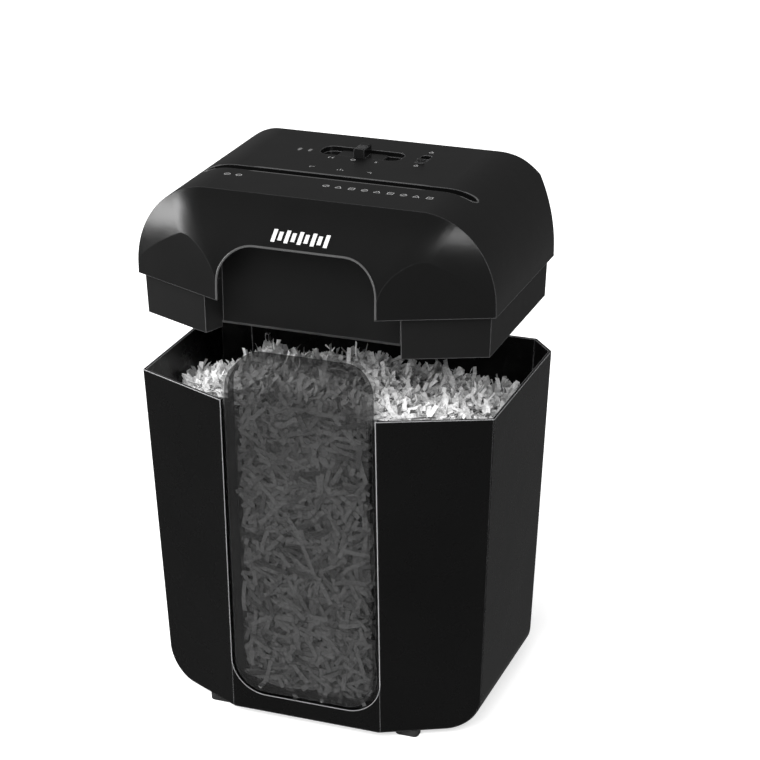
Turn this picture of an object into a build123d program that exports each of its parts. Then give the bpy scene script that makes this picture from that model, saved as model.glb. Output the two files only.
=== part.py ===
from build123d import *

import os
from math import acos, cos, pi, radians, sin, sqrt, tan

# Desk-side cross-cut paper shredder: a waste bin with a smoked window, and a cutter head that lifts off it.
#
# Units are millimetres. +Z is up, +X is the user's right and -Y is the front. The origin is on the floor,
# under the middle of the object's box. The head is stored lifted clear of the bin, as it is when the bin is
# emptied, and comes down by HEAD_LIFT to rest on the rim. Each function makes one node.

# --- Outline shared by the bin's rim and the head's lower edge
HALF_WIDTH = 167.0
HALF_DEPTH = 117.5
FRONT_FLAT = 72.5  # half width of the flat centre of the front
FRONT_CORNER_Y = -76.0  # where the slanted front panels meet the sides
BACK_CORNER_Y = 92.0
BACK_FLAT = 145.0

# --- Bin
WALL = 2.6
RIM_Z = 319.0
BIN_BASE_Z = 7.0
SIDE_DRAFT = 0.042  # inward lean of each wall, mm per mm of drop
FRONT_DRAFT = 0.032
BACK_DRAFT = 0.028
BASE_CORNER_R = 30.0
UPRIGHT_EDGE_R = 1.4
FOOT_X, FOOT_FRONT_Y, FOOT_BACK_Y = 92.0, -87.0, 86.0

# --- Window: a shallow box that stands proud of the bin's front, with a tab above the rim
NOTCH_BOTTOM_Z = 25.0
NOTCH_CORNER_R = 33.0
PANE_HALF = 67.0
PANE_CORNER_R = 28.0
PANE_WALL = 2.4
PANE_PROUD = 3.2
PANE_BOX_DEPTH = 12.0  # how far the box reaches behind the bin's front
GROOVE_DEPTH = 6.0
FLANGE_OVERLAP = 6.0
TAB_TOP = 43.0  # above the rim

# --- Safety rib on the bin's back wall, and the hole in the housing that takes it
RIB_X, RIB_Y = -120.0, 101.0
RIB_TOP_Z = 295.0

# --- Head; heights called h are above the head's own lower edge
HEAD_LIFT = 93.0
HEAD_Z = RIM_Z + HEAD_LIFT
DECK_H = 87.0
SHOULDER_X = 100.0  # the deck is flat to here, then rounds down to the sides
SHOULDER_H = 10.0
COVER_WALL = 2.8
BACK_EDGE_R = 9.0
FACE_POWER = 2.5  # how late the front face leans back on its way up
TOP_SLOPE = 0.62  # how sharply the face folds back to the sides at the deck
BASE_SLOPE = (FRONT_CORNER_Y + HALF_DEPTH) / (HALF_WIDTH - FRONT_FLAT)
ARCH_TOP_H = 49.0
ARCH_CORNER_R = 31.0

# --- Paper slot
SLOT_Y = -13.0
SLIT_HALF = 111.0
SLIT_HALF_WIDTH = 3.0
GROOVE_HALF = 129.0
GROOVE_HALF_WIDTH = 5.5
GROOVE_FLOOR_H = 77.0

# --- Controls on the deck
MODE_X, MODE_Y = -6.0, 62.0
MODE_HALF_LENGTH, MODE_HALF_WIDTH = 39.0, 13.0
MODE_FLOOR_H = 82.0
LOCK_X, LOCK_Y = 52.0, 63.0
LOCK_HALF_WIDTH, LOCK_HALF_LENGTH = 4.6, 12.5
LOCK_FLOOR_H = 83.0
LOCK_REST_Y = 55.5
LAMP_XS = (-64.0, -54.0)
LAMP_Y = 55.0
BOARD_H = 56.0
BOARD_POSTS = [(-84, 44), (-84, 90), (78, 44), (78, 90)]

# --- Mains lead gland in the back wall
GLAND_X, GLAND_H = 120.0, 22.0
GLAND_SEAT_R = 7.0
GLAND_BORE_R = 3.8

# --- Lower housing, the part of the head that drops into the bin
SKIRT_DEPTH = 38.0
SKIRT_DRAFT = 1.5
RECESS_Y = -82.0  # back wall of the recess that takes the window's tab
HOUSING_LIP_H = 8.0
ALCOVE_TOP_H = 51.0
EXIT_HALF = 112.0
EXIT_FRONT_Y, EXIT_BACK_Y = -48.0, 22.0
SENSOR_X = 22.0
SENSOR_AXIS = (8.0, 50.0)  # (y, h)
SCREWS = [(-150, -58), (150, -58), (-150, 78), (134, 102.5), (-60, 101), (4, 101)]

# --- Cutting block
SHAFT_H = 10.0
SHAFT_FRONT_Y, SHAFT_REAR_Y = SLOT_Y - 19.0, SLOT_Y + 19.0
DISC_R = 20.4
DISC_WIDTH = 3.6
DISC_PITCH = 8.0
FRONT_DISCS = 28
REAR_DISCS = 27
NOTCHES = 3
NOTCH_DEPTH = 2.6
HELIX_STEP = 13.0  # degrees from one disc to the next
SPACER_R = 14.5
HEX_R = 9.0
HEX_FIT = 0.1
JOURNAL_R = 6.5
BUSH_R = 10.0
PLATE_X = 115.0  # inner face of the side plates
PLATE_T = 3.0
TIE_R = 4.0
TIES = [(-57.0, 38.0), (-57.0, -14.0), (22.0, 41.0), (30.0, -15.0)]

# --- Gears
PRESSURE_ANGLE = radians(25.0)
BACKLASH = 0.24
PINION_TEETH = 12
SYNC_MODULE, SYNC_TEETH = 2.0, 19
DRIVE_MODULE, DRIVE_TEETH = 1.5, 40
SECOND_MODULE, SECOND_TEETH = 1.25, 44
FIRST_MODULE, FIRST_TEETH = 1.0, 54
SECOND_ANGLE, FIRST_ANGLE, MOTOR_ANGLE = radians(45.0), radians(5.0), radians(-80.0)
FIRST_X, SECOND_X, DRIVE_X = 121.0, 130.5, 140.0  # inner faces of the three gear planes
GEAR_W = 8.0
SYNC_X = -127.0
AXLE_R = 3.0
GEAR_PLATE_X = 150.0
GEAR_POSTS = [(-30.0, 40.0), (90.0, -4.0), (45.0, -19.0)]  # (y, h) of the gear carrier's posts
RUN = 0.05  # radial running clearance
SEAT = 0.02  # radial gap of a fixed seat

# --- Motor
MOTOR_R = 27.0
CORE_X0, CORE_X1 = 44.0, 84.0
ARMATURE_R = 15.0
MOTOR_SHAFT_R = 3.0


def polar(centre, radius, angle):
    """The (y, h) point at a distance and angle from a (y, h) centre."""
    return centre[0] + radius * cos(angle), centre[1] + radius * sin(angle)


FRONT_AXIS = (SHAFT_FRONT_Y, SHAFT_H)
DRIVE_AXIS = (SHAFT_REAR_Y, SHAFT_H)
SECOND_AXIS = polar(DRIVE_AXIS, DRIVE_MODULE * (DRIVE_TEETH + PINION_TEETH) / 2, SECOND_ANGLE)
FIRST_AXIS = polar(SECOND_AXIS, SECOND_MODULE * (SECOND_TEETH + PINION_TEETH) / 2, FIRST_ANGLE)
MOTOR_AXIS = polar(FIRST_AXIS, FIRST_MODULE * (FIRST_TEETH + PINION_TEETH) / 2, MOTOR_ANGLE)


# --- Shape helpers ---------------------------------------------------------------------------------------
def block(x0, x1, y0, y1, z0, z1):
    return Pos((x0 + x1) / 2, (y0 + y1) / 2, (z0 + z1) / 2) * Box(x1 - x0, y1 - y0, z1 - z0)


def prism_x(points, x0, x1):
    """A (y, z) polygon carried from x0 to x1."""
    return extrude(Plane.YZ.offset(x0) * Polygon(*points, align=None), x1 - x0, dir=(1, 0, 0))


def prism_y(sketch, y0, y1):
    """An (x, z) sketch carried from y0 to y1."""
    return extrude(Plane.XZ.offset(-y1) * sketch, y1 - y0, dir=(0, -1, 0))


def prism_z(points, z0, z1):
    return extrude(Plane.XY.offset(z0) * Polygon(*points, align=None), z1 - z0, dir=(0, 0, 1))


def rod_x(axis, radius, x0, x1):
    """A round bar along X about a (y, z) axis."""
    return extrude(Plane.YZ.offset(x0) * (Pos(*axis) * Circle(radius)), x1 - x0)


def rod_y(x, z, radius, y0, y1):
    return prism_y(Pos(x, z) * Circle(radius), y0, y1)


def rod_z(x, y, radius, z0, z1):
    return Pos(x, y, (z0 + z1) / 2) * Cylinder(radius, z1 - z0)


def tube_x(axis, outer, inner, x0, x1):
    return rod_x(axis, outer, x0, x1) - rod_x(axis, inner, x0 - 1, x1 + 1)


def well(x, y, half_x, half_y, radius, z0, z1):
    """An upright block with rounded corners."""
    plan = Pos(x, y) * RectangleRounded(2 * half_x, 2 * half_y, radius)
    return extrude(Plane.XY.offset(z0) * plan, z1 - z0)


def ruled(low, low_z, high, high_z):
    """A ruled solid between two plans with as many corners."""
    return loft([Plane.XY.offset(low_z) * low, Plane.XY.offset(high_z) * high], ruled=True)


def lifted(shape):
    """From the head's own heights to where the head is stored."""
    return Pos(0, 0, HEAD_Z) * shape


def group(shapes):
    """Several separate solids in one node."""
    return Compound(children=list(shapes))


# --- Outlines --------------------------------------------------------------------------------------------
def outline(drop=0.0, inset=0.0):
    """The bin's plan at a depth below its rim: eight corners, moved in by draft and by a wall."""
    side = HALF_WIDTH - SIDE_DRAFT * drop
    half = [
        (FRONT_FLAT, -HALF_DEPTH + FRONT_DRAFT * drop), (side, FRONT_CORNER_Y + FRONT_DRAFT * drop),
        (side, BACK_CORNER_Y - BACK_DRAFT * drop),
        (BACK_FLAT - SIDE_DRAFT * drop, HALF_DEPTH - BACK_DRAFT * drop),
    ]  # fmt: skip
    plan = Polygon(*half, *[(-x, y) for x, y in reversed(half)], align=None)
    return offset(plan, amount=-inset, kind=Kind.INTERSECTION) if inset else plan


def front_view(inset, floor):
    """The bin seen from the front: rounded lower corners between sides a hair outside the real ones."""
    top = HALF_WIDTH - inset + SIDE_DRAFT * 10 + 0.05
    low = top - SIDE_DRAFT * (RIM_Z + 10 - floor)
    face = Polygon((-low, floor), (low, floor), (top, RIM_Z + 10), (-top, RIM_Z + 10), align=None)
    return fillet(face.vertices().sort_by(Axis.Y)[:2], BASE_CORNER_R - inset)


def panel(half, bottom, low_radius, top, top_radius=0.0):
    """An (x, z) upright panel with rounded corners."""
    face = Polygon((-half, bottom), (half, bottom), (half, top), (-half, top), align=None)
    face = fillet(face.vertices().sort_by(Axis.Y)[:2], low_radius) if low_radius else face
    return fillet(face.vertices().sort_by(Axis.Y)[-2:], top_radius) if top_radius else face


def face_y(h):
    """Where the head's front face is at its middle."""
    bulge = HALF_DEPTH + FRONT_CORNER_Y
    return FRONT_CORNER_Y - bulge * (1 - (max(h, 0.0) / DECK_H) ** FACE_POWER)


def bin_front_y(z):
    """The bin's front at its middle, carried on above the rim by the head's face."""
    return -HALF_DEPTH + FRONT_DRAFT * (RIM_Z - z) if z <= RIM_Z else face_y(z - RIM_Z)


def front_slab(near, far, z0, z1, half):
    """The space between two depths behind the bin's front; a negative depth is in front of it."""
    bends = [RIM_Z + TAB_TOP * i / 4 for i in range(5)]
    levels = [z0] + [z for z in bends if z0 < z < z1] + [z1]
    front = [(bin_front_y(z) + near, z) for z in levels]
    back = [(bin_front_y(z) + far, z) for z in reversed(levels)]
    return prism_x(front + back, -half, half)


# --- Bin nodes -------------------------------------------------------------------------------------------
def bin_body():
    """Moulded container: one wall all round, a notch for the window and a jamb round the notch."""
    deep = HALF_DEPTH + 5
    outer = ruled(outline(RIM_Z - BIN_BASE_Z), BIN_BASE_Z, outline(), RIM_Z)
    outer = outer & prism_y(front_view(0, BIN_BASE_Z), -deep, deep)
    uprights = [edge for edge in outer.edges() if edge.bounding_box().size.Z > 200]
    uprights = [edge for edge in uprights if abs(edge.center().X) > FRONT_FLAT + 20]
    outer = fillet(uprights, UPRIGHT_EDGE_R)
    floor = BIN_BASE_Z + WALL
    inner = ruled(outline(RIM_Z - floor, WALL), floor, outline(-5, WALL), RIM_Z + 5)
    inner = inner & prism_y(front_view(WALL, floor), -deep, deep)
    reach = FRONT_FLAT + 2 * WALL
    jamb = prism_y(panel(FRONT_FLAT + WALL, NOTCH_BOTTOM_Z - WALL, NOTCH_CORNER_R + WALL, RIM_Z), -deep, -90)
    jamb = jamb & front_slab(WALL / 2, GROOVE_DEPTH, 0, RIM_Z, reach)
    notch = prism_y(panel(FRONT_FLAT, NOTCH_BOTTOM_Z, NOTCH_CORNER_R, RIM_Z + 20), -deep, -90)
    return outer - inner + jamb - notch


def safety_rib():
    """Finger on the bin's back wall that reaches the head's safety switch."""
    low, high = 252, 272
    wall = [(HALF_DEPTH - BACK_DRAFT * (RIM_Z - z) - WALL - SEAT, z) for z in (low, high)]
    arm = prism_x(wall + [(RIB_Y - 2, high), (RIB_Y - 2, high - 6)], RIB_X - 7, RIB_X + 7)
    return arm + block(RIB_X - 2, RIB_X + 2, RIB_Y - 2, RIB_Y + 2, 267, RIB_TOP_Z)


def bin_window():
    """Smoked pane: a shallow open-backed box with a flange behind the notch."""
    top, bottom = RIM_Z + TAB_TOP, NOTCH_BOTTOM_Z + FRONT_FLAT - PANE_HALF
    deep = HALF_DEPTH + 6
    small_r = PANE_CORNER_R - PANE_WALL
    outer = prism_y(panel(PANE_HALF, bottom, PANE_CORNER_R, top, PANE_CORNER_R), -deep, -60)
    outer = outer & front_slab(-PANE_PROUD, PANE_BOX_DEPTH, 0, top + 1, PANE_HALF + 1)
    inner = panel(PANE_HALF - PANE_WALL, bottom + PANE_WALL, small_r, top - PANE_WALL, small_r)
    inner = prism_y(inner, -deep, -60)
    inner = inner & front_slab(PANE_WALL - PANE_PROUD, PANE_BOX_DEPTH + 1, 0, top + 1, PANE_HALF)
    flange = panel(
        FRONT_FLAT + FLANGE_OVERLAP, NOTCH_BOTTOM_Z - FLANGE_OVERLAP, NOTCH_CORNER_R + FLANGE_OVERLAP, RIM_Z - 1
    )
    flange = prism_y(flange, -deep, -60)
    flange = flange & front_slab(GROOVE_DEPTH, GROOVE_DEPTH + PANE_WALL, 0, RIM_Z, FRONT_FLAT + 20)
    return outer + flange - inner


def bin_feet():
    feet = []
    for x in (-FOOT_X, FOOT_X):
        for y in (FOOT_FRONT_Y, FOOT_BACK_Y):
            foot = well(x, y, 11, 6.5, 4, 0, BIN_BASE_Z)
            feet.append(chamfer(foot.edges().group_by(Axis.Z)[0], 1))
    return group(feet)


# --- Head shell ------------------------------------------------------------------------------------------
def half_width_at(h):
    """Half width of the head at a height."""
    rise = min(max((h - SHOULDER_H) / (DECK_H - SHOULDER_H), 0.0), 1.0)
    return SHOULDER_X + (HALF_WIDTH - SHOULDER_X) * sqrt(1 - rise * rise)


def shoulder_view(inset, low):
    """The head seen from the front: flat deck, elliptical shoulders, upright sides."""
    side, top = HALF_WIDTH - inset, DECK_H - inset
    reach, rise = side - SHOULDER_X, top - SHOULDER_H
    right = EllipticalCenterArc((SHOULDER_X, SHOULDER_H), reach, rise, start_angle=0, arc_size=90)
    left = EllipticalCenterArc((-SHOULDER_X, SHOULDER_H), reach, rise, start_angle=90, arc_size=90)
    sides = [Line((-side, SHOULDER_H), (-side, low)), Line((-side, low), (side, low))]
    sides += [Line((side, low), (side, SHOULDER_H)), Line((SHOULDER_X, top), (-SHOULDER_X, top))]
    return make_face([right, left] + sides)


def front_section(h, shift):
    """Plan, at a height, of the space before the front face: flat middle, rounded fold, slanted sides."""
    y = face_y(h) + shift
    rise = min(max(h, 0.0) / DECK_H, 1.0)
    slope = BASE_SLOPE + (TOP_SLOPE - BASE_SLOPE) * rise
    x = half_width_at(min(h, 0.97 * DECK_H)) - (FRONT_CORNER_Y - face_y(h)) / slope
    blend = 1.0 + 14.0 * min(2.2 * rise, 1.0)
    inner, outer = (x - blend, y), (x + blend, y + slope * blend)
    far, clear = 200.0, -260.0
    end = (far, y + slope * (far - x))
    edges = [Bezier(inner, (x, y), outer), Line(outer, end), Line(end, (far, clear))]
    edges.append(Line((far, clear), (-far, clear)))
    edges += [Line((-far, clear), (-end[0], end[1])), Line((-end[0], end[1]), (-outer[0], outer[1]))]
    edges.append(Bezier((-outer[0], outer[1]), (-x, y), (-inner[0], y)))
    edges.append(Line((-inner[0], y), inner))
    return Plane.XY.offset(h) * make_face(edges)


def before_front(shift):
    """Everything in front of the head's front face moved back by shift."""
    levels = [-6, 0, 15, 30, 45, 60, 75, DECK_H, DECK_H + 6]
    return loft([front_section(h, shift) for h in levels])


def head_form(inset, low):
    """The head's outer form, or its inside when inset."""
    form = prism_y(shoulder_view(inset, low), -HALF_DEPTH - 4, HALF_DEPTH - inset)
    form = form & extrude(Plane.XY.offset(low) * outline(0, inset), DECK_H - low)
    back, top = HALF_DEPTH - inset, DECK_H - inset
    side = Polygon((-130, low), (back, low), (back, top), (-130, top), align=None)
    side = fillet(side.vertices().sort_by(lambda v: v.X + v.Y)[-1:], BACK_EDGE_R - inset)
    form = form & extrude(Plane.YZ.offset(-HALF_WIDTH - 1) * side, 2 * HALF_WIDTH + 2, dir=(1, 0, 0))
    return form - before_front(inset)


def slot_trough(grow, floor):
    """The groove round the paper slot; it runs out where the deck falls away at its ends."""
    half_width = GROOVE_HALF_WIDTH + grow
    return well(0, SLOT_Y, GROOVE_HALF + grow, half_width, half_width - 0.05, floor, DECK_H + 5)


def top_cover():
    """One moulded shell: deck, shoulders, sides, back and front face, with posts below."""
    shell = head_form(0, 0) - head_form(COVER_WALL, -1)
    seats = [slot_trough(COVER_WALL, GROOVE_FLOOR_H - COVER_WALL)]
    top = DECK_H - 1
    seats.append(well(MODE_X, MODE_Y, MODE_HALF_LENGTH + 2, MODE_HALF_WIDTH + 2, 12, MODE_FLOOR_H - 2, top))
    seats.append(well(LOCK_X, LOCK_Y, LOCK_HALF_WIDTH + 2, LOCK_HALF_LENGTH + 2, 5, LOCK_FLOOR_H - 2, top))
    seats += [rod_z(x, y, 3, BOARD_H + 1.7, top) for x, y in BOARD_POSTS]
    seats += [rod_z(x, y, 5, HOUSING_LIP_H + 0.1, top) for x, y in SCREWS]
    within = head_form(1, 1)
    for seat in seats:
        shell = shell + (seat & within)
    cuts = [prism_y(panel(FRONT_FLAT, -60, 0, ARCH_TOP_H, ARCH_CORNER_R), -HALF_DEPTH - 5, -90)]
    cuts.append(slot_trough(0, GROOVE_FLOOR_H))
    cuts.append(well(0, SLOT_Y, SLIT_HALF, SLIT_HALF_WIDTH, 1, 60, DECK_H))
    cuts.append(well(MODE_X, MODE_Y, MODE_HALF_LENGTH, MODE_HALF_WIDTH, 10, MODE_FLOOR_H, DECK_H + 1))
    cuts.append(well(MODE_X, MODE_Y, 15, 3, 1, DECK_H - 12, DECK_H))
    cuts.append(well(LOCK_X, LOCK_Y, LOCK_HALF_WIDTH, LOCK_HALF_LENGTH, 3, LOCK_FLOOR_H, DECK_H + 1))
    cuts.append(well(LOCK_X, LOCK_Y, 1.5, 9.5, 0.5, DECK_H - 12, DECK_H))
    cuts += [well(x, LAMP_Y, 1.6, 3.1, 1.5, DECK_H - 6, DECK_H + 1) for x in LAMP_XS]
    cuts += [block(14 * i - 72, 14 * i - 68, HALF_DEPTH - 8, HALF_DEPTH + 1, 24, 58) for i in range(11)]
    cuts.append(rod_y(GLAND_X, GLAND_H, GLAND_SEAT_R, HALF_DEPTH - 8, HALF_DEPTH + 1))
    cuts += [rod_z(x, y, 2.0, 0, 20) for x, y in SCREWS]
    for cut in cuts:
        shell = shell - cut
    return lifted(shell)


def cord_gland():
    """Rubber bush for the mains lead, gripping the cover's back wall."""
    back = HALF_DEPTH
    gland = rod_y(GLAND_X, GLAND_H, GLAND_SEAT_R - SEAT, back - COVER_WALL - 4, back + 1)
    gland = gland + rod_y(GLAND_X, GLAND_H, GLAND_SEAT_R + 2, back + SEAT, back + PANE_PROUD)
    gland = gland + rod_y(GLAND_X, GLAND_H, GLAND_SEAT_R + 1.5, back - COVER_WALL - 4, back - COVER_WALL - SEAT)
    return lifted(gland - rod_y(GLAND_X, GLAND_H, GLAND_BORE_R, back - 20, back + 10))


def housing_plan(h):
    """The housing's plan at a height: two front blocks with the window's recess between them."""
    grow = SKIRT_DRAFT * (h + SKIRT_DEPTH) / SKIRT_DEPTH
    half = [(83, RECESS_Y), (91, -102 - grow), (160.5 + grow, -72 - 0.4 * grow)]
    half += [(160.5 + grow, 88.5 + 0.4 * grow), (141.5 + 0.4 * grow, 111 + grow)]
    return Polygon(*half, *[(-x, y) for x, y in reversed(half)], align=None)


def alcove(grow, roof):
    """The space above the recess, behind the cover's arch."""
    left = [(-83 - grow, RECESS_Y + grow), (-91 - grow, -101)]
    points = left + [(-x, y) for x, y in reversed(left)]
    return prism_z(points, HOUSING_LIP_H - 2, roof)


def lower_housing():
    """Tray that carries the mechanism, closes the head from below and drops inside the bin's rim."""
    low, high, floor = -SKIRT_DEPTH, HOUSING_LIP_H, -SKIRT_DEPTH + WALL
    wedge = [(RECESS_Y - 1, low - 1), (RECESS_Y - 1, low + 6), (RECESS_Y + 10, low - 1)]
    outer = ruled(housing_plan(low), low, housing_plan(high), high) - prism_x(wedge, -88, 88)
    inner_low = offset(housing_plan(floor), amount=-WALL, kind=Kind.INTERSECTION)
    inner_high = offset(housing_plan(high + 1), amount=-WALL, kind=Kind.INTERSECTION)
    inner = ruled(inner_low, floor, inner_high, high + 1)
    inner = inner - prism_x([(y + WALL, h + WALL) for y, h in wedge], -88, 88)
    hood = alcove(WALL, ALCOVE_TOP_H + WALL) - alcove(0, ALCOVE_TOP_H)
    hood = hood - block(-80, 80, -120, -83, 0, ALCOVE_TOP_H)
    tray = outer - inner + hood
    tray = tray - block(-EXIT_HALF, EXIT_HALF, EXIT_FRONT_Y, EXIT_BACK_Y, low - 1, floor + 1)
    tray = tray - block(RIB_X - 4, RIB_X + 4, RIB_Y - 4, RIB_Y + 4, low - 1, floor + 1)
    for x, y in SCREWS:
        tray = tray + rod_z(x, y, 5.5, floor - 1, high) - rod_z(x, y, 2.3, low - 1, high + 1)
        tray = tray - rod_z(x, y, 4.0, low - 1, low + 8)
    return lifted(tray)


def housing_screws():
    screws = []
    for x, y in SCREWS:
        seat = -SKIRT_DEPTH + 8
        head = rod_z(x, y, 3.7, seat - 3.4, seat - SEAT)
        head = head - block(x - 2.2, x + 2.2, y - 0.5, y + 0.5, seat - 4, seat - 2)
        screws.append(lifted(head + rod_z(x, y, 1.95, seat - 1, 18)))
    return group(screws)


# --- Controls --------------------------------------------------------------------------------------------
def mode_slider():
    """Grooved thumb block on a plate, with a stem and a retaining foot below the deck."""
    plate = well(MODE_X, MODE_Y, 22.5, 9, 3, MODE_FLOOR_H + 0.15, MODE_FLOOR_H + 3)
    plate = chamfer(plate.edges().group_by(Axis.Z)[-1], 0.8)
    thumb = block(MODE_X - 5, MODE_X + 5, MODE_Y - 9.5, MODE_Y + 9.5, MODE_FLOOR_H + 1, DECK_H + 7)
    thumb = chamfer(thumb.edges().filter_by(Axis.Y).group_by(Axis.Z)[-1], 1.2)
    for y in (-7, -4.5, -2, 0.5):
        thumb = thumb - block(MODE_X - 6, MODE_X + 6, MODE_Y + y, MODE_Y + y + 1.1, DECK_H + 6, DECK_H + 8)
    stem = block(MODE_X - 4, MODE_X + 4, MODE_Y - 2.7, MODE_Y + 2.7, MODE_FLOOR_H - 6, MODE_FLOOR_H + 1)
    foot = block(MODE_X - 7, MODE_X + 7, MODE_Y - 6, MODE_Y + 6, MODE_FLOOR_H - 6.5, MODE_FLOOR_H - 2.2)
    return lifted(plate + thumb + stem + foot)


def lock_slider():
    plate = well(LOCK_X, LOCK_REST_Y, 4.2, 4.4, 1.5, LOCK_FLOOR_H + 0.15, DECK_H + 0.2)
    knob = block(LOCK_X - 3, LOCK_X + 3, LOCK_REST_Y - 1.6, LOCK_REST_Y + 1.6, DECK_H - 1, DECK_H + 3)
    knob = chamfer(knob.edges().filter_by(Axis.X).group_by(Axis.Z)[-1], 0.8)
    stem = block(LOCK_X - 1.3, LOCK_X + 1.3, LOCK_REST_Y - 1.6, LOCK_REST_Y + 1.6, LOCK_FLOOR_H - 7, LOCK_FLOOR_H + 1)
    foot = block(LOCK_X - 4, LOCK_X + 4, LOCK_REST_Y - 3, LOCK_REST_Y + 3, LOCK_FLOOR_H - 7, LOCK_FLOOR_H - 2.2)
    return lifted(plate + knob + stem + foot)


def lamp_lenses():
    lenses = []
    for x in LAMP_XS:
        lens = well(x, LAMP_Y, 1.5, 3.0, 1.4, DECK_H - 4, DECK_H + 0.3)
        lenses.append(lifted(lens + well(x, LAMP_Y, 3, 4.5, 1.4, DECK_H - 5, DECK_H - COVER_WALL - SEAT)))
    return group(lenses)


def control_board():
    """Circuit board hung below the deck on four posts."""
    board = block(-90, 84, 38, 94, BOARD_H, BOARD_H + 1.6)
    for x, y in BOARD_POSTS:
        board = board - rod_z(x, y, 1.6, BOARD_H - 1, BOARD_H + 3)
    return lifted(board)


def board_parts():
    """Mode switch, lock switch, relay, capacitor and the two lamps on the board."""
    top = BOARD_H + 1.6
    parts = [
        block(MODE_X - 18, MODE_X + 18, MODE_Y - 8, MODE_Y + 8, top, MODE_FLOOR_H - 7.5),
        block(LOCK_X - 5, LOCK_X + 5, LOCK_Y - 10, LOCK_Y + 10, top, LOCK_FLOOR_H - 8),
        block(-40, -28, 72, 92, top, top + 15),
    ]
    parts += [rod_z(x, LAMP_Y, 2.5, top, DECK_H - 6) for x in LAMP_XS]
    parts.append(rod_z(24, 84, 8, top, top + 20))
    return group(lifted(part) for part in parts)


def safety_switch():
    """Micro switch above the hole that the bin's rib comes through."""
    floor = -SKIRT_DEPTH + WALL
    button_h = RIB_TOP_Z - RIM_Z + 0.6
    case = block(RIB_X - 10, RIB_X + 10, RIB_Y - 5, RIB_Y + 5, button_h + 2, button_h + 14)
    legs = [block(x - 2, x + 2, RIB_Y - 5, RIB_Y + 5, floor, button_h + 3) for x in (RIB_X - 8, RIB_X + 8)]
    return lifted(case + legs[0] + legs[1] + rod_z(RIB_X, RIB_Y, 1.5, button_h, button_h + 3))


# --- Paper path ------------------------------------------------------------------------------------------
def paper_throat():
    """Funnel from the slot to the nip between the cutters."""
    low, high = 34.0, GROOVE_FLOOR_H - COVER_WALL - 0.1
    wide, narrow = 5.2, 2.8
    outer = block(-114, 114, SLOT_Y - 7, SLOT_Y + 7, low, high)
    bore = [(SLOT_Y + narrow, low - 1), (SLOT_Y + narrow, 60), (SLOT_Y + wide, high + 1)]
    bore += [(SLOT_Y - wide, high + 1), (SLOT_Y - narrow, 60), (SLOT_Y - narrow, low - 1)]
    throat = outer - prism_x(bore, -111.5, 111.5)
    throat = throat - block(SENSOR_X - 4.5, SENSOR_X + 4.5, SLOT_Y, SLOT_Y + 10, low - 1, 56)
    for x in (SENSOR_X - 9, SENSOR_X + 6):
        ear = block(x, x + 3, SLOT_Y + 6, SENSOR_AXIS[0] + 4, SENSOR_AXIS[1] - 4, SENSOR_AXIS[1] + 4)
        throat = throat + ear
    return lifted(throat - rod_x(SENSOR_AXIS, 1.5 + RUN, SENSOR_X - 12, SENSOR_X + 12))


def sensor_lever():
    """Arm that the paper's edge pushes down to start the motor."""
    y, h = SENSOR_AXIS
    pin = rod_x(SENSOR_AXIS, 1.5, SENSOR_X - 10, SENSOR_X + 10)
    boss = rod_x(SENSOR_AXIS, 3.2, SENSOR_X - 3, SENSOR_X + 3)
    finger = prism_x([(y, h + 2.5), (-15, 42), (-15.5, 38.5), (y, h - 2.5)], SENSOR_X - 3, SENSOR_X + 3)
    tail = prism_x([(y, h - 2), (19, h - 1), (19, h + 1), (y, h + 2)], SENSOR_X - 3, SENSOR_X + 3)
    return lifted(pin + boss + finger + tail)


def start_switch():
    """Slotted light switch that the lever's tail rises into, on a bracket under the board."""
    y0, y1 = 14, 22
    case = block(SENSOR_X - 8, SENSOR_X + 8, y0, y1, 47, 60)
    case = case - block(SENSOR_X - 4, SENSOR_X + 4, y0 - 2, y1 + 2, 45, 58)
    arm = block(SENSOR_X - 8, SENSOR_X + 8, y1 - 1, 40, 58, 60)
    return lifted(case + arm + block(SENSOR_X - 8, SENSOR_X + 8, 38, 44, BOARD_H + 1.6, 60))


# --- Cutting block ---------------------------------------------------------------------------------------
def hexagon(centre, radius):
    return Pos(*centre) * RegularPolygon(radius, 6)


def left_plate():
    floor = -SKIRT_DEPTH + WALL
    plate = prism_x([(-66, floor), (48, floor), (48, 50), (-66, 50)], -PLATE_X - PLATE_T, -PLATE_X)
    holes = [rod_x(axis, BUSH_R + SEAT, -PLATE_X - 9, -PLATE_X + 9) for axis in (FRONT_AXIS, DRIVE_AXIS)]
    holes += [rod_x(axis, TIE_R + SEAT, -PLATE_X - 9, -PLATE_X + 9) for axis in TIES]
    for hole in holes:
        plate = plate - hole
    return lifted(plate)


def right_plate():
    """Side plate that also carries the motor and the gears' axles."""
    floor = -SKIRT_DEPTH + WALL
    points = [(-66, floor), (104, floor), (104, 40), (84, 58), (-10, 58), (-66, 50)]
    plate = prism_x(points, PLATE_X, PLATE_X + PLATE_T)
    holes = [rod_x(axis, BUSH_R + SEAT, PLATE_X - 9, PLATE_X + 9) for axis in (FRONT_AXIS, DRIVE_AXIS)]
    holes += [rod_x(axis, TIE_R + SEAT, PLATE_X - 9, PLATE_X + 9) for axis in TIES]
    holes += [rod_x(axis, AXLE_R + SEAT, PLATE_X - 9, PLATE_X + 9) for axis in (FIRST_AXIS, SECOND_AXIS)]
    holes += [rod_x(axis, 2.5, PLATE_X - 9, PLATE_X + 9) for axis in GEAR_POSTS]
    holes.append(rod_x(MOTOR_AXIS, 8 + SEAT, PLATE_X - 9, PLATE_X + 9))
    for hole in holes:
        plate = plate - hole
    return lifted(plate)


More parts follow.
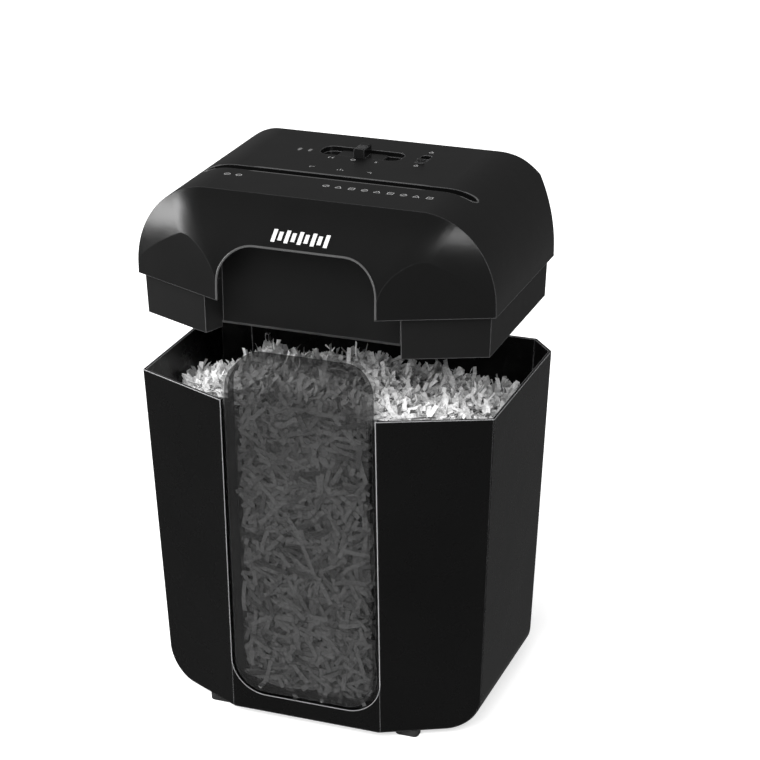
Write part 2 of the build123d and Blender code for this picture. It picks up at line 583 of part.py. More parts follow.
def tie_rods():
    """Four rods with a nut at each end."""
    rods = []
    for y, h in TIES:
        rod = rod_x((y, h), TIE_R - SEAT, -PLATE_X - PLATE_T - 4, PLATE_X + PLATE_T + 2.8)
        left, right = -PLATE_X - PLATE_T, PLATE_X + PLATE_T
        rod = rod + extrude(Plane.YZ.offset(left - 3) * hexagon((y, h), 6.5), 3 - SEAT)
        rod = rod + extrude(Plane.YZ.offset(right + SEAT) * hexagon((y, h), 6.5), 2.5)
        rods.append(lifted(rod))
    return group(rods)


def bushes():
    """Plain bearings in the side plates, flanged on the inside."""
    rings = []
    for axis in (FRONT_AXIS, DRIVE_AXIS):
        for side in (-1, 1):
            near, far = sorted((side * (PLATE_X - 2), side * (PLATE_X + PLATE_T + 1)))
            ring = rod_x(axis, BUSH_R, near, far)
            near, far = sorted((side * (PLATE_X - 2), side * (PLATE_X - SEAT)))
            ring = ring + rod_x(axis, BUSH_R + 2, near, far)
            rings.append(lifted(ring - rod_x(axis, JOURNAL_R + RUN, -140, 140)))
    return group(rings)


def cutter_shaft(axis, left, right):
    """Hexagonal bar between round journals."""
    hexed = extrude(Plane.YZ.offset(-PLATE_X + 3) * hexagon(axis, HEX_R), 2 * PLATE_X - 6)
    return lifted(hexed + rod_x(axis, JOURNAL_R, left, right))


def disc_profile(axis, turn):
    """A cutter disc with hooked notches round its edge."""
    y, h = axis
    disc = Pos(y, h) * Circle(DISC_R)
    for i in range(NOTCHES):
        a = radians(turn + 360 * i / NOTCHES)
        edge = [polar(axis, DISC_R + 2, a), polar(axis, DISC_R - NOTCH_DEPTH, a)]
        edge.append(polar(axis, DISC_R + 2, a + 0.34))
        disc = disc - Polygon(*edge, align=None)
    return disc - hexagon(axis, HEX_R + HEX_FIT)


def cutter_discs(axis, count, direction):
    discs = []
    first = -DISC_PITCH * (count - 1) / 2 - DISC_WIDTH / 2
    for i in range(count):
        profile = disc_profile(axis, direction * HELIX_STEP * i)
        discs.append(lifted(extrude(Plane.YZ.offset(first + DISC_PITCH * i) * profile, DISC_WIDTH)))
    return group(discs)


def spacer_rings(axis, count):
    """Rings between neighbouring discs."""
    rings = []
    first = -DISC_PITCH * (count - 1) / 2 + DISC_WIDTH / 2
    profile = Pos(*axis) * Circle(SPACER_R) - hexagon(axis, HEX_R + HEX_FIT)
    width = DISC_PITCH - DISC_WIDTH
    for i in range(count - 1):
        rings.append(lifted(extrude(Plane.YZ.offset(first + DISC_PITCH * i) * profile, width)))
    return group(rings)


def stripper_comb(axis, side, count):
    """Bar with a finger in every gap between discs; side is -1 in front of the shafts, +1 behind."""
    y, h = axis
    near, far = sorted((y + side * (DISC_R + 1.4), y + side * (DISC_R + 7)))
    comb = block(-PLATE_X, PLATE_X, near, far, h - 8, h + 8)
    near, far = sorted((y + side * 10, y + side * (DISC_R + 3)))
    finger_w = DISC_PITCH - DISC_WIDTH - 0.8
    for i in range(count - 1):
        x = DISC_PITCH * (i - (count - 2) / 2)
        comb = comb + block(x - finger_w / 2, x + finger_w / 2, near, far, h - 6, h + 6)
    return lifted(comb - rod_x(axis, SPACER_R + 0.8, -PLATE_X - 1, PLATE_X + 1))


# --- Gears -----------------------------------------------------------------------------------------------
def involute(angle):
    return tan(angle) - angle


def gear_outline(centre, module, teeth, phase):
    """A spur gear's (y, h) outline with one tooth centred on phase."""
    pitch = module * teeth / 2
    base = pitch * cos(PRESSURE_ANGLE)
    root, tip = pitch - 1.25 * module, pitch + 0.92 * module
    half_tooth = pi / (2 * teeth) - BACKLASH / (4 * pitch)
    start = max(base, root + 0.05 * module)
    flank = []
    for i in range(4):
        radius = start + (tip - start) * i / 3
        lean = involute(acos(min(1.0, base / radius)))
        flank.append((radius, half_tooth + involute(PRESSURE_ANGLE) - lean))
    points = []
    for i in range(teeth):
        middle = phase + 2 * pi * i / teeth
        points.append(polar(centre, root, middle - flank[0][1] - 0.1 / teeth))
        points += [polar(centre, radius, middle - half) for radius, half in flank]
        points += [polar(centre, radius, middle + half) for radius, half in reversed(flank)]
        points.append(polar(centre, root, middle + flank[0][1] + 0.1 / teeth))
    return Polygon(*points, align=None)


def gear(centre, module, teeth, phase, x):
    return extrude(Plane.YZ.offset(x) * gear_outline(centre, module, teeth, phase), GEAR_W)


def gap_phase(angle, teeth):
    """The phase that puts a gap where the tooth of a gear seen at angle arrives."""
    return angle + pi + pi / teeth


def sync_gear(axis, phase):
    """Gear on a cutter shaft's left end that keeps the two shafts in step."""
    body = gear(axis, SYNC_MODULE, SYNC_TEETH, phase, SYNC_X)
    return lifted(body - rod_x(axis, JOURNAL_R + SEAT, SYNC_X - 1, SYNC_X + GEAR_W + 1))


def drive_gear():
    """Large gear on the rear cutter shaft's right end."""
    body = gear(DRIVE_AXIS, DRIVE_MODULE, DRIVE_TEETH, gap_phase(SECOND_ANGLE - pi, DRIVE_TEETH), DRIVE_X)
    ring = tube_x(DRIVE_AXIS, 25, 11, DRIVE_X + 5.5, DRIVE_X + GEAR_W + 1)
    return lifted(body - ring - rod_x(DRIVE_AXIS, JOURNAL_R + SEAT, DRIVE_X - 1, DRIVE_X + GEAR_W + 1))


def second_gear():
    """Compound gear: large wheel beside the first gear's pinion, small one on the drive gear."""
    toward_drive = SECOND_ANGLE + pi
    wheel_phase = gap_phase(FIRST_ANGLE - pi, SECOND_TEETH)
    body = gear(SECOND_AXIS, SECOND_MODULE, SECOND_TEETH, wheel_phase, SECOND_X)
    body = body + gear(SECOND_AXIS, DRIVE_MODULE, PINION_TEETH, toward_drive, DRIVE_X)
    body = body + rod_x(SECOND_AXIS, 6, SECOND_X + 1, DRIVE_X + 1)
    return lifted(body - rod_x(SECOND_AXIS, AXLE_R + RUN, SECOND_X - 1, DRIVE_X + GEAR_W + 1))


def first_gear():
    """Compound gear driven by the motor's pinion."""
    toward_second = FIRST_ANGLE + pi
    wheel_phase = gap_phase(MOTOR_ANGLE - pi, FIRST_TEETH)
    body = gear(FIRST_AXIS, FIRST_MODULE, FIRST_TEETH, wheel_phase, FIRST_X)
    body = body + gear(FIRST_AXIS, SECOND_MODULE, PINION_TEETH, toward_second, SECOND_X)
    body = body + rod_x(FIRST_AXIS, 5, FIRST_X + 1, SECOND_X + 1)
    return lifted(body - rod_x(FIRST_AXIS, AXLE_R + RUN, FIRST_X - 1, SECOND_X + GEAR_W + 1))


def gear_axles():
    axles = [rod_x(axis, AXLE_R, PLATE_X, GEAR_PLATE_X + 2) for axis in (FIRST_AXIS, SECOND_AXIS)]
    return group(lifted(axle) for axle in axles)


def gear_carrier():
    """Outer plate that holds the axles' far ends, on three posts."""
    points = [(-38, -6), (-38, 46), (20, 49), (76, 49), (94, 34), (96, -10), (46, -27), (0, -27)]
    plate = prism_x(points, GEAR_PLATE_X, GEAR_PLATE_X + 2)
    for post in GEAR_POSTS:
        plate = plate + rod_x(post, 3.5, PLATE_X + PLATE_T + SEAT, GEAR_PLATE_X + 1)
        plate = plate + rod_x(post, 2.5 - SEAT, PLATE_X, GEAR_PLATE_X)
    for axis in (FIRST_AXIS, SECOND_AXIS):
        plate = plate - rod_x(axis, AXLE_R + SEAT, GEAR_PLATE_X - 1, GEAR_PLATE_X + 3)
    return lifted(plate)


# --- Motor -----------------------------------------------------------------------------------------------
def motor_stator():
    """Laminated core with a round bore."""
    core = Pos(*MOTOR_AXIS) * RectangleRounded(2 * MOTOR_R, 2 * MOTOR_R - 6, 9)
    core = core - Pos(*MOTOR_AXIS) * Circle(ARMATURE_R + 0.8)
    y, h = MOTOR_AXIS
    for side in (-1, 1):
        core = core - Pos(y, h + side * 18.6) * RectangleRounded(22, 7, 2)
    return lifted(extrude(Plane.YZ.offset(CORE_X0) * core, CORE_X1 - CORE_X0))


def field_coils():
    """Two windings that pass through the stator's windows and round its ends."""
    y, h = MOTOR_AXIS
    coils = []
    for side in (-1, 1):
        loop = block(CORE_X0 - 6, CORE_X1 + 6, y - 10, y + 10, h + side * 18.6 - 3, h + side * 18.6 + 3)
        coils.append(lifted(loop))
    return group(coils)


def motor_bells():
    """End frames: the left one holds the brushes' end, the right one bolts to the side plate."""
    y, h = MOTOR_AXIS
    bells = []
    spans = [(20, 24, 17, 28), (PLATE_X - 4, PLATE_X - SEAT, PLATE_X - 8, PLATE_X + PLATE_T)]
    for x0, x1, hub0, hub1 in spans:
        bell = block(x0, x1, y - 24, y + 24, h - 9, h + 9) + rod_x(MOTOR_AXIS, 8, hub0, hub1)
        for side in (-1, 1):
            near, far = sorted((CORE_X0 if x0 < CORE_X0 else CORE_X1, x0 + 1))
            bell = bell + block(near, far, y + side * 21 - 3, y + side * 21 + 3, h - 9, h + 9)
        bells.append(lifted(bell - rod_x(MOTOR_AXIS, MOTOR_SHAFT_R + RUN, 0, 130)))
    return group(bells)


def armature():
    """Shaft with the wound core, commutator and cooling fan."""
    body = rod_x(MOTOR_AXIS, MOTOR_SHAFT_R, 16, FIRST_X + GEAR_W)
    core = Pos(*MOTOR_AXIS) * Circle(ARMATURE_R)
    for i in range(12):
        slot = Pos(*polar(MOTOR_AXIS, ARMATURE_R - 2, 2 * pi * i / 12))
        core = core - slot * Rot(0, 0, 30 * i) * Rectangle(5, 1.6)
    body = body + extrude(Plane.YZ.offset(CORE_X0 + 1) * core, CORE_X1 - CORE_X0 - 2)
    body = body + rod_x(MOTOR_AXIS, 8, 30, 40) + rod_x(MOTOR_AXIS, 6, 40, CORE_X0 + 2)
    fan = rod_x(MOTOR_AXIS, 6, 93, 104) + rod_x(MOTOR_AXIS, 17, 93, 94.5)
    for i in range(8):
        blade = Pos(*polar(MOTOR_AXIS, 11, pi / 4 * i)) * Rot(0, 0, 45 * i + 20) * Rectangle(11, 1.4)
        fan = fan + extrude(Plane.YZ.offset(93.5) * blade, 9)
    return lifted(body + fan)


def motor_pinion():
    """Steel pinion pressed on the motor's shaft."""
    body = gear(MOTOR_AXIS, FIRST_MODULE, PINION_TEETH, MOTOR_ANGLE + pi, FIRST_X)
    return lifted(body - rod_x(MOTOR_AXIS, MOTOR_SHAFT_R + SEAT, FIRST_X - 1, FIRST_X + GEAR_W + 1))


def brush_holders():
    y, h = MOTOR_AXIS
    holders = []
    for side in (-1, 1):
        near, far = sorted((y + side * 8.3, y + side * 17.9))
        holders.append(lifted(block(31.5, 38.5, near, far, h - 4, h + 4)))
    return group(holders)


# --- Build -----------------------------------------------------------------------------------------------
NODES = {
    "bin_body": bin_body(),
    "safety_rib": safety_rib(),
    "bin_window": bin_window(),
    "bin_feet": bin_feet(),
    "top_cover": top_cover(),
    "lower_housing": lower_housing(),
    "housing_screws": housing_screws(),
    "cord_gland": cord_gland(),
    "mode_slider": mode_slider(),
    "lock_slider": lock_slider(),
    "lamp_lenses": lamp_lenses(),
    "control_board": control_board(),
    "board_parts": board_parts(),
    "safety_switch": safety_switch(),
    "paper_throat": paper_throat(),
    "sensor_lever": sensor_lever(),
    "start_switch": start_switch(),
    "left_plate": left_plate(),
    "right_plate": right_plate(),
    "tie_rods": tie_rods(),
    "bushes": bushes(),
    "front_shaft": cutter_shaft(FRONT_AXIS, SYNC_X - 1, PLATE_X + PLATE_T + 0.8),
    "front_discs": cutter_discs(FRONT_AXIS, FRONT_DISCS, 1),
    "front_spacers": spacer_rings(FRONT_AXIS, FRONT_DISCS),
    "front_sync_gear": sync_gear(FRONT_AXIS, 0.0),
    "rear_shaft": cutter_shaft(DRIVE_AXIS, SYNC_X - 1, DRIVE_X + GEAR_W + 1),
    "rear_discs": cutter_discs(DRIVE_AXIS, REAR_DISCS, -1),
    "rear_spacers": spacer_rings(DRIVE_AXIS, REAR_DISCS),
    "rear_sync_gear": sync_gear(DRIVE_AXIS, gap_phase(0.0, SYNC_TEETH)),
    "drive_gear": drive_gear(),
    "second_gear": second_gear(),
    "first_gear": first_gear(),
    "gear_axles": gear_axles(),
    "gear_carrier": gear_carrier(),
    "front_comb": stripper_comb(FRONT_AXIS, -1, FRONT_DISCS),
    "rear_comb": stripper_comb(DRIVE_AXIS, 1, REAR_DISCS),
    "motor_stator": motor_stator(),
    "field_coils": field_coils(),
    "motor_bells": motor_bells(),
    "brush_holders": brush_holders(),
    "armature": armature(),
    "motor_pinion": motor_pinion(),
}

os.makedirs("parts", exist_ok=True)
for name, shape in NODES.items():
    export_step(shape, f"parts/{name}.step")
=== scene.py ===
"""Looks for the paper shredder: materials, shredded paper, marks, camera and studio light.

Metres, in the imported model's frame: +Z up, +X to the user's right, -Y the front.
"""

import math
import random

import bpy
from mathutils import Euler, Matrix, Vector
from mathutils.bvhtree import BVHTree


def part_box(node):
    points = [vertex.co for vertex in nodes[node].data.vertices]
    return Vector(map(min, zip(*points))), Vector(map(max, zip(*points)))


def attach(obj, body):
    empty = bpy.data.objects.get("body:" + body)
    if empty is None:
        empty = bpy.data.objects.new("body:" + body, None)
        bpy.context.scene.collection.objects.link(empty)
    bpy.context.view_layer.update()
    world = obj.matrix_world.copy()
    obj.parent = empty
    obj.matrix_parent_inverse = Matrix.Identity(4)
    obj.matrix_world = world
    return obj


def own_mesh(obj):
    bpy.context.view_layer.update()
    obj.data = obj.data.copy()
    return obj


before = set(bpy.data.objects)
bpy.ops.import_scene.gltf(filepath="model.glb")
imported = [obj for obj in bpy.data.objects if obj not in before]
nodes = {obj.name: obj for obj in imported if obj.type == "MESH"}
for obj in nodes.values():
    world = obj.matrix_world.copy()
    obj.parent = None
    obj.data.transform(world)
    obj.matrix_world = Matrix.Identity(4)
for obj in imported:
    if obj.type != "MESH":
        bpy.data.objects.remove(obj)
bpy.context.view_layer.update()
random.seed(11)

MM = 0.001
BIN_LOW, BIN_HIGH = (Vector(corner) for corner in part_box("bin_body"))
HEAD_LOW, HEAD_HIGH = (Vector(corner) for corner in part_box("top_cover"))
PANE_LOW, _ = (Vector(corner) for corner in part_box("bin_window"))
RIM = BIN_HIGH.z
DECK = HEAD_HIGH.z

# The bin's walls: how far each leans in per unit of height, and where its corners are cut off
SIDE_DRAFT, FRONT_DRAFT, BACK_DRAFT = 0.042, 0.032, 0.028
FRONT_FLAT, FRONT_CUT_SLOPE = 72.5 * MM, 0.439
BACK_FLAT, BACK_CUT_SLOPE = 145 * MM, 1.159
LOW_CORNER_R = 30 * MM
PANE_ALPHA = 0.54

# The paper
HEAP_TOP = RIM - 7 * MM
TOP_STRIPS, PANE_STRIPS = 8000, 2600
STRIP_WIDTH, STRIP_THICKNESS = 3.9 * MM, 0.25 * MM
STRIP_STEPS = 5
STRIP_CLEARANCE = 3.5 * MM
PANE_ROOM_HALF, PANE_STRIP_HALF = 69 * MM, 64.4 * MM
JAMB_HALF, JAMB_DEPTH, PANE_RIM_DEPTH = 80 * MM, 9 * MM, 16 * MM
CORE_CLEARANCE, CORE_FRONT_CLEARANCE, CORE_DEPTH = 8 * MM, 20 * MM, 16 * MM
CORE_CORNER_R, CORE_CORNER_H = 34 * MM, 40 * MM
CORE_BACK_FLAT = 138 * MM
CORE_COLUMNS, CORE_ROWS = 60, 44

# The head's arch, slot and printing
ARCH_HALF, ARCH_TOP, ARCH_R = 72.5 * MM, 49.0 * MM, 31.0 * MM
SLOT_Y, GROOVE_HALF, GROOVE_HALF_WIDTH = -13 * MM, 129 * MM, 5.5 * MM
INK_LIFT = 0.12 * MM
INK_LINE = 0.6 * MM

# The studio: the floor glows a little, and it and the backdrop light the black plastic less than they show
FLOOR_HALF, FLOOR_GLOW = 6.0, 0.62
BACKDROP_STRENGTH, BACKDROP_FILL = 1.0, 0.13

# --- Camera: the photograph's angle
CAMERA_AZIMUTH, CAMERA_ELEVATION, CAMERA_ROLL = 20.63, 22.48, 0.24
CAMERA_DISTANCE = 2.245
CAMERA_TARGET = Vector((0.0332, 0.0, 0.3072))
FOCAL_LENGTH, SENSOR_WIDTH = 117.44, 36.0


def add_camera():
    azimuth, elevation = math.radians(CAMERA_AZIMUTH), math.radians(CAMERA_ELEVATION)
    level = math.cos(elevation)
    back = Vector((math.sin(azimuth) * level, -math.cos(azimuth) * level, math.sin(elevation)))
    data = bpy.data.cameras.new("camera")
    data.lens, data.sensor_width = FOCAL_LENGTH, SENSOR_WIDTH
    data.clip_start, data.clip_end = 0.05, 20
    camera = bpy.data.objects.new("camera", data)
    roll = Matrix.Rotation(math.radians(-CAMERA_ROLL), 3, "Z")
    turn = back.to_track_quat("Z", "Y").to_matrix() @ roll
    camera.matrix_world = Matrix.Translation(CAMERA_TARGET + back * CAMERA_DISTANCE) @ turn.to_4x4()
    bpy.context.scene.collection.objects.link(camera)
    bpy.context.scene.camera = camera


# --- Node trees ------------------------------------------------------------------------------------------
class Tree:
    """A material's node tree, with short calls to add and join nodes."""

    def __init__(self, name):
        self.material = bpy.data.materials.new(name)
        self.material.use_nodes = True
        self.nodes = self.material.node_tree.nodes
        self.links = self.material.node_tree.links
        self.shader = self.nodes["Principled BSDF"]

    def add(self, kind, **settings):
        node = self.nodes.new(kind)
        for key, value in settings.items():
            setattr(node, key, value)
        return node

    def join(self, source, target):
        self.links.new(source, target)

    def position(self, stretch=(1, 1, 1)):
        """Object coordinates, stretched along each axis."""
        place = self.add("ShaderNodeTexCoord")
        mapping = self.add("ShaderNodeMapping")
        mapping.inputs["Scale"].default_value = stretch
        self.join(place.outputs["Object"], mapping.inputs["Vector"])
        return mapping.outputs["Vector"]

    def noise(self, scale, detail=3.0, stretch=(1, 1, 1), roughness=0.5):
        texture = self.add("ShaderNodeTexNoise")
        texture.inputs["Scale"].default_value = scale
        texture.inputs["Detail"].default_value = detail
        texture.inputs["Roughness"].default_value = roughness
        self.join(self.position(stretch), texture.inputs["Vector"])
        return texture.outputs["Fac"]

    def ramp(self, source, stops):
        """Maps a 0..1 value through (place, colour) stops."""
        ramp = self.add("ShaderNodeValToRGB")
        while len(ramp.color_ramp.elements) < len(stops):
            ramp.color_ramp.elements.new(0.5)
        for element, (place, colour) in zip(ramp.color_ramp.elements, stops):
            element.position = place
            grey = (colour, colour, colour)
            element.color = (*colour, 1) if isinstance(colour, tuple) else (*grey, 1)
        self.join(source, ramp.inputs["Fac"])
        return ramp.outputs["Color"]

    def spread(self, source, low, high):
        """Maps 0..1 to low..high."""
        reach = self.add("ShaderNodeMapRange")
        reach.inputs["To Min"].default_value = low
        reach.inputs["To Max"].default_value = high
        self.join(source, reach.inputs["Value"])
        return reach.outputs["Result"]

    def mix(self, factor, first, second):
        blend = self.add("ShaderNodeMix", data_type="RGBA")
        for value, index in ((factor, 0), (first, 6), (second, 7)):
            socket = blend.inputs[index]
            if isinstance(value, bpy.types.NodeSocket):
                self.join(value, socket)
            elif isinstance(value, tuple):
                socket.default_value = (*value, 1)
            else:
                socket.default_value = value
        return blend.outputs[2]

    def edge_highlight(self, radius):
        """1 on sharp edges and 0 on flats, from how a rounded normal departs from the true one: the mask of a
        painted edge highlight.
        """
        rounded = self.add("ShaderNodeBevel", samples=6)
        rounded.inputs["Radius"].default_value = radius
        flat = self.add("ShaderNodeNewGeometry")
        product = self.add("ShaderNodeVectorMath", operation="DOT_PRODUCT")
        self.join(rounded.outputs["Normal"], product.inputs[0])
        self.join(flat.outputs["Normal"], product.inputs[1])
        highlight_mask = self.add("ShaderNodeMapRange")
        highlight_mask.inputs["From Min"].default_value = 0.995
        highlight_mask.inputs["From Max"].default_value = 0.80
        self.join(product.outputs["Value"], highlight_mask.inputs["Value"])
        return highlight_mask.outputs["Result"], rounded.outputs["Normal"]

    def bump(self, height, strength, distance, normal=None):
        bump = self.add("ShaderNodeBump")
        bump.inputs["Strength"].default_value = strength
        bump.inputs["Distance"].default_value = distance
        self.join(height, bump.inputs["Height"])
        if normal is not None:
            self.join(normal, bump.inputs["Normal"])
        self.join(bump.outputs["Normal"], self.shader.inputs["Normal"])


# --- Materials -------------------------------------------------------------------------------------------
def moulded_plastic(name, shade, edge_highlight_shade, rough, grain, grain_depth, radius=0.0012, gloss=0.22):
    """Moulded plastic: fine spark grain, uneven gloss, pale edges painted as a highlight."""
    tree = Tree(name)
    highlight_mask, rounded = tree.edge_highlight(radius)
    mottle = tree.noise(9, 4)
    body = tree.ramp(mottle, [(0.3, shade * 0.85), (0.7, shade * 1.15)])
    edge = (edge_highlight_shade, edge_highlight_shade, edge_highlight_shade * 1.02)
    # Sharp edges are mixed to the paler edge colour: a painted highlight along the edges.
    tree.join(tree.mix(highlight_mask, body, edge), tree.shader.inputs["Base Color"])
    tree.join(tree.spread(tree.noise(35, 5), rough * 0.88, rough * 1.14), tree.shader.inputs["Roughness"])
    tree.shader.inputs["Specular IOR Level"].default_value = gloss
    tree.bump(tree.noise(grain, 2, roughness=0.7), 0.35, grain_depth, rounded)
    return tree.material


def metal(name, colour, rough, stretch=(1, 1, 1)):
    """Machined metal: fine directional scratches and a little staining."""
    tree = Tree(name)
    tree.shader.inputs["Metallic"].default_value = 1.0
    stain = tree.noise(60, 5)
    dark = tuple(c * 0.7 for c in colour)
    tree.join(tree.ramp(stain, [(0.35, dark), (0.65, colour)]), tree.shader.inputs["Base Color"])
    scratches = tree.noise(420, 3, stretch)
    tree.join(tree.spread(scratches, rough * 0.7, rough * 1.4), tree.shader.inputs["Roughness"])
    tree.bump(scratches, 0.2, 0.00005)
    return tree.material


def rubber():
    tree = Tree("rubber")
    tree.join(tree.ramp(tree.noise(80, 4), [(0.3, 0.012), (0.7, 0.026)]), tree.shader.inputs["Base Color"])
    tree.join(tree.spread(tree.noise(120, 3), 0.62, 0.85), tree.shader.inputs["Roughness"])
    tree.bump(tree.noise(2600, 2), 0.4, 0.00006)
    return tree.material


def circuit_board():
    tree = Tree("circuit_board")
    tracks = tree.add("ShaderNodeTexBrick")
    tracks.inputs["Scale"].default_value = 90
    tracks.inputs["Color1"].default_value = (0.02, 0.16, 0.07, 1)
    tracks.inputs["Color2"].default_value = (0.03, 0.22, 0.1, 1)
    tracks.inputs["Mortar"].default_value = (0.16, 0.3, 0.14, 1)
    tree.join(tree.position(), tracks.inputs["Vector"])
    tree.join(tracks.outputs["Color"], tree.shader.inputs["Base Color"])
    tree.join(tree.spread(tree.noise(40), 0.25, 0.4), tree.shader.inputs["Roughness"])
    tree.bump(tracks.outputs["Fac"], 0.2, 0.0001)
    return tree.material


def smoked_pane():
    """Smoked plastic: see-through grey with a soft sheen, light scuffs and a painted highlight along its
    edges.
    """
    tree = Tree("smoked_pane")
    highlight_mask, rounded = tree.edge_highlight(0.0009)
    haze = tree.ramp(tree.noise(14, 5), [(0.3, 0.013), (0.7, 0.018)])
    # The pane's edges are mixed to pale grey: a painted edge highlight.
    tree.join(tree.mix(highlight_mask, haze, (0.10, 0.10, 0.10)), tree.shader.inputs["Base Color"])
    tree.join(tree.spread(tree.noise(50, 5), 0.3, 0.4), tree.shader.inputs["Roughness"])
    tree.shader.inputs["Specular IOR Level"].default_value = 0.25
    tree.shader.inputs["Alpha"].default_value = PANE_ALPHA
    tree.bump(tree.noise(900, 2), 0.12, 0.00004, rounded)
    return tree.material


def lens():
    tree = Tree("lens")
    tree.join(tree.ramp(tree.noise(200, 2), [(0.3, 0.16), (0.7, 0.26)]), tree.shader.inputs["Base Color"])
    tree.join(tree.spread(tree.noise(90), 0.2, 0.35), tree.shader.inputs["Roughness"])
    tree.bump(tree.noise(1500), 0.1, 0.00003)
    return tree.material


def paper():
    """Shredded office paper: white to grey strips with faint print and fibre."""
    tree = Tree("shredded_paper")
    island = tree.add("ShaderNodeNewGeometry").outputs["Random Per Island"]
    tone = tree.ramp(island, [(0.0, 0.30), (0.15, 0.60), (0.4, 0.84), (0.75, 0.95)])
    print_marks = tree.ramp(tree.noise(420, 2), [(0.50, 1.0), (0.60, 0.62)])
    shade = tree.add("ShaderNodeMix", data_type="RGBA", blend_type="MULTIPLY")
    shade.inputs[0].default_value = 0.6
    tree.join(tone, shade.inputs[6])
    tree.join(print_marks, shade.inputs[7])
    tree.join(shade.outputs[2], tree.shader.inputs["Base Color"])
    tree.join(tree.spread(tree.noise(300), 0.7, 0.9), tree.shader.inputs["Roughness"])
    tree.shader.inputs["Specular IOR Level"].default_value = 0.2
    tree.bump(tree.noise(1800, 3), 0.25, 0.00005)
    return tree.material


def printed(name, shade):
    """Silk-screened ink."""
    tree = Tree(name)
    ink = tree.ramp(tree.noise(700, 2), [(0.3, shade * 0.85), (0.7, shade)])
    tree.join(ink, tree.shader.inputs["Base Color"])
    tree.join(tree.spread(tree.noise(200), 0.35, 0.5), tree.shader.inputs["Roughness"])
    tree.bump(tree.noise(3000), 0.1, 0.00002)
    return tree.material


def floor_paint():
    tree = Tree("studio_floor")
    tree.join(tree.ramp(tree.noise(3, 2), [(0.3, 0.93), (0.7, 0.95)]), tree.shader.inputs["Base Color"])
    tree.shader.inputs["Roughness"].default_value = 0.9
    tree.shader.inputs["Emission Color"].default_value = (1, 1, 1, 1)
    tree.shader.inputs["Emission Strength"].default_value = FLOOR_GLOW
    tree.shader.inputs["Specular IOR Level"].default_value = 0.1
    return tree.material


# The second value of each is the pale colour of the painted highlight on sharp edges.
BIN_PLASTIC = moulded_plastic("bin_plastic", 0.0026, 0.55, 0.27, 1500, 0.00004, 0.0015, 0.30)
COVER_PLASTIC = moulded_plastic("cover_plastic", 0.0035, 0.13, 0.31, 1700, 0.00006, 0.0012, 0.55)
HOUSING_PLASTIC = moulded_plastic("housing_plastic", 0.007, 0.18, 0.42, 1300, 0.00006, 0.0010, 0.35)
CONTROL_PLASTIC = moulded_plastic("control_plastic", 0.010, 0.16, 0.26, 1500, 0.00003, 0.0006)
INNER_PLASTIC = moulded_plastic("inner_plastic", 0.03, 0.12, 0.5, 1200, 0.00006, 0.0006)
NYLON = moulded_plastic("nylon", 0.62, 0.75, 0.45, 1200, 0.00004, 0.0005, 0.5)
STEEL = metal("plated_steel", (0.56, 0.56, 0.55), 0.32, (0.05, 1, 1))
DARK_STEEL = metal("hardened_steel", (0.24, 0.24, 0.25), 0.38, (1, 0.1, 0.1))
BRONZE = metal("sintered_bronze", (0.62, 0.45, 0.22), 0.42)
COPPER = metal("copper_wire", (0.70, 0.30, 0.15), 0.3, (0.02, 1, 1))
ALUMINIUM = metal("cast_aluminium", (0.66, 0.67, 0.68), 0.45)
RUBBER = rubber()
PANE = smoked_pane()
BOARD = circuit_board()
LENS = lens()
PAPER = paper()
INK = printed("pale_ink", 0.6)
EMBLEM_INK = printed("silver_ink", 0.72)

NODE_MATERIALS = {
    "bin_body": BIN_PLASTIC, "safety_rib": BIN_PLASTIC, "bin_window": PANE, "bin_feet": RUBBER,
    "top_cover": COVER_PLASTIC, "lower_housing": HOUSING_PLASTIC, "housing_screws": STEEL,
    "cord_gland": RUBBER, "mode_slider": CONTROL_PLASTIC, "lock_slider": CONTROL_PLASTIC,
    "lamp_lenses": LENS, "control_board": BOARD, "first_gear": NYLON,
    "front_discs": DARK_STEEL, "rear_discs": DARK_STEEL, "motor_stator": DARK_STEEL, "armature": DARK_STEEL,
    "bushes": BRONZE, "brush_holders": BRONZE, "field_coils": COPPER, "motor_bells": ALUMINIUM,
}  # fmt: skip
INNER_NODES = (
    "board_parts", "safety_switch", "paper_throat", "sensor_lever", "start_switch", "front_comb", "rear_comb",
)  # fmt: skip


def paint_nodes():
    for name, node in nodes.items():
        material = NODE_MATERIALS.get(name, INNER_PLASTIC if name in INNER_NODES else STEEL)
        node.data.materials.clear()
        node.data.materials.append(material)


# --- Pieces ----------------------------------------------------------------------------------------------
def add_piece(name, vertices, faces, material, body):
    mesh = bpy.data.meshes.new(name)
    mesh.from_pydata(vertices, [], faces)
    mesh.materials.append(material)
    mesh.update()
    piece = bpy.data.objects.new(name, mesh)
    bpy.context.scene.collection.objects.link(piece)
    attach(piece, body)
    return piece


def strip_shape(length, curl, twist):
    """A curled strip of paper, centred on the origin and lying in XY, as points along its two edges."""
    points = []
    for i in range(STRIP_STEPS + 1):
        t = i / STRIP_STEPS - 0.5
        angle = curl * t
        along = length * (math.sin(angle) / curl if abs(curl) > 0.01 else t)
        lift = length * ((1 - math.cos(angle)) / curl if abs(curl) > 0.01 else 0)
        side = Vector((0, math.cos(twist * t), math.sin(twist * t))) * (STRIP_WIDTH / 2)
        middle = Vector((along, 0, lift))
        points += [middle - side, middle + side]
    return points


